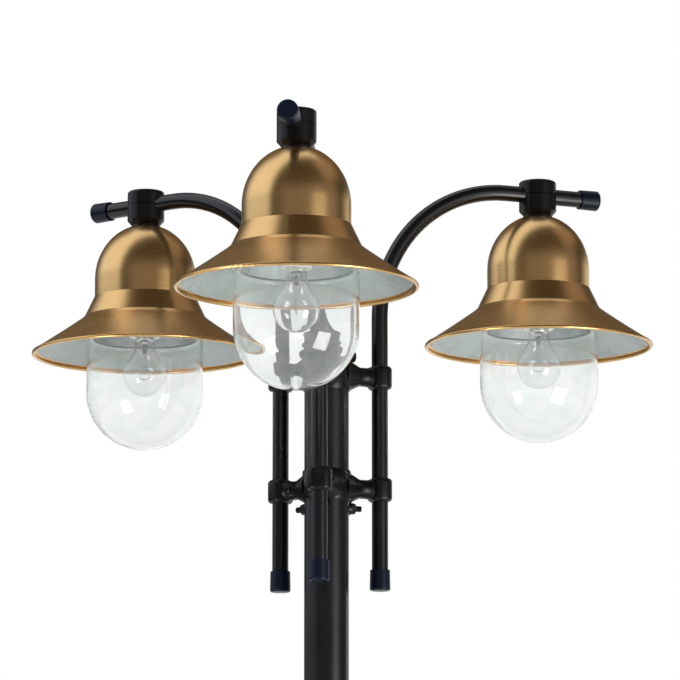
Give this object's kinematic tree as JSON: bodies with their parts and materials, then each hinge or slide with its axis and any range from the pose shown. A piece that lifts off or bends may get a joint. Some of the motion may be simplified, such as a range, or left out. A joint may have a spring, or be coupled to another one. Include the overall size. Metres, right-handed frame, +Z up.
{
  "type": "triple head lamp post",
  "caption": "Outdoor lamp post: a black mast with cast brackets and goose-neck arms, brass bell shades with clear glass globes.",
  "frame": {"origin": "on the ground at the centre of the foot, which is the centre of the anchor bolt circle", "axes": "+Z up along the mast; the front arm points to -Y, and the right arm lies 30 degrees from +X towards +Y"},
  "size_m": [0.863, 0.7895, 2.356],
  "materials": {
    "black_powder_coat": "satin gloss",
    "blue_black_plastic": "soft gloss",
    "brushed_brass": "satin, spun",
    "pale_enamel": "gloss",
    "cast_aluminium": "satin",
    "clear_glass": "polished",
    "bulb_glass": "polished",
    "bulb_cap_metal": "satin",
    "filament_wire": "satin",
    "zinc_steel": "satin",
    "black_steel": "satin",
    "porcelain": "glazed",
    "gasket_rubber": "matte"
  },
  "bodies": {
    "post": {"foot_flange": "black_powder_coat", "mast_tube": "black_powder_coat", "mast_finial": "black_powder_coat", "upper_bracket": "black_powder_coat", "lower_bracket": "black_powder_coat", "upper_grub_screws": "black_steel", "lower_set_bolts": "black_steel", "stub_screws": "black_steel"},
    "arm_front": {"arm_tube_front": "black_powder_coat", "arm_lower_cap_front": "blue_black_plastic", "arm_outer_cap_front": "blue_black_plastic"},
    "head_front": {"clamp_cap_front": "black_powder_coat", "clamp_body_front": "black_powder_coat", "clamp_screws_front": "black_steel", "shade_dome_front": "brushed_brass", "shade_skirt_front": "brushed_brass", "shade_reflector_front": "pale_enamel", "globe_carrier_front": "cast_aluminium", "globe_gasket_front": "gasket_rubber", "lamp_holder_front": "porcelain", "holder_nipple_front": "zinc_steel"},
    "globe_front": {"glass_globe_front": "clear_glass"},
    "bulb_front": {"bulb_glass_front": "bulb_glass", "bulb_cap_front": "bulb_cap_metal", "bulb_filament_front": "filament_wire"},
    "arm_right": {"arm_tube_right": "black_powder_coat", "arm_lower_cap_right": "blue_black_plastic", "arm_outer_cap_right": "blue_black_plastic"},
    "head_right": {"clamp_cap_right": "black_powder_coat", "clamp_body_right": "black_powder_coat", "clamp_screws_right": "black_steel", "shade_dome_right": "brushed_brass", "shade_skirt_right": "brushed_brass", "shade_reflector_right": "pale_enamel", "globe_carrier_right": "cast_aluminium", "globe_gasket_right": "gasket_rubber", "lamp_holder_right": "porcelain", "holder_nipple_right": "zinc_steel"},
    "globe_right": {"glass_globe_right": "clear_glass"},
    "bulb_right": {"bulb_glass_right": "bulb_glass", "bulb_cap_right": "bulb_cap_metal", "bulb_filament_right": "filament_wire"},
    "arm_left": {"arm_tube_left": "black_powder_coat", "arm_lower_cap_left": "blue_black_plastic", "arm_outer_cap_left": "blue_black_plastic"},
    "head_left": {"clamp_cap_left": "black_powder_coat", "clamp_body_left": "black_powder_coat", "clamp_screws_left": "black_steel", "shade_dome_left": "brushed_brass", "shade_skirt_left": "brushed_brass", "shade_reflector_left": "pale_enamel", "globe_carrier_left": "cast_aluminium", "globe_gasket_left": "gasket_rubber", "lamp_holder_left": "porcelain", "holder_nipple_left": "zinc_steel"},
    "globe_left": {"glass_globe_left": "clear_glass"},
    "bulb_left": {"bulb_glass_left": "bulb_glass", "bulb_cap_left": "bulb_cap_metal", "bulb_filament_left": "filament_wire"}
  },
  "joints": [
    {"name": "arm_swivel_front", "type": "hinge", "parent": "post", "child": "arm_front", "pos_m": [0, -0.078, 1.911], "axis": [0, 0, 1], "range_deg": [-25, 25]},
    {"name": "head_tilt_front", "type": "hinge", "parent": "arm_front", "child": "head_front", "pos_m": [0, -0.317, 2.336], "axis": [0, -1, 0], "range_deg": [-20, 20]},
    {"name": "globe_removal_front", "type": "slide", "parent": "head_front", "child": "globe_front", "axis": [0, 0, -1], "range_m": [0, 0.18]},
    {"name": "bulb_removal_front", "type": "slide", "parent": "head_front", "child": "bulb_front", "axis": [0, 0, -1], "range_m": [0, 0.025]},
    {"name": "arm_swivel_right", "type": "hinge", "parent": "post", "child": "arm_right", "pos_m": [0.06755, 0.039, 1.911], "axis": [0, 0, 1], "range_deg": [-25, 25]},
    {"name": "head_tilt_right", "type": "hinge", "parent": "arm_right", "child": "head_right", "pos_m": [0.27453, 0.1585, 2.336], "axis": [0.866, 0.5, 0], "range_deg": [-20, 20]},
    {"name": "globe_removal_right", "type": "slide", "parent": "head_right", "child": "globe_right", "axis": [0, 0, -1], "range_m": [0, 0.18]},
    {"name": "bulb_removal_right", "type": "slide", "parent": "head_right", "child": "bulb_right", "axis": [0, 0, -1], "range_m": [0, 0.025]},
    {"name": "arm_swivel_left", "type": "hinge", "parent": "post", "child": "arm_left", "pos_m": [-0.06755, 0.039, 1.911], "axis": [0, 0, 1], "range_deg": [-25, 25]},
    {"name": "head_tilt_left", "type": "hinge", "parent": "arm_left", "child": "head_left", "pos_m": [-0.27453, 0.1585, 2.336], "axis": [-0.866, 0.5, 0], "range_deg": [-20, 20]},
    {"name": "globe_removal_left", "type": "slide", "parent": "head_left", "child": "globe_left", "axis": [0, 0, -1], "range_m": [0, 0.18]},
    {"name": "bulb_removal_left", "type": "slide", "parent": "head_left", "child": "bulb_left", "axis": [0, 0, -1], "range_m": [0, 0.025]}
  ]
}
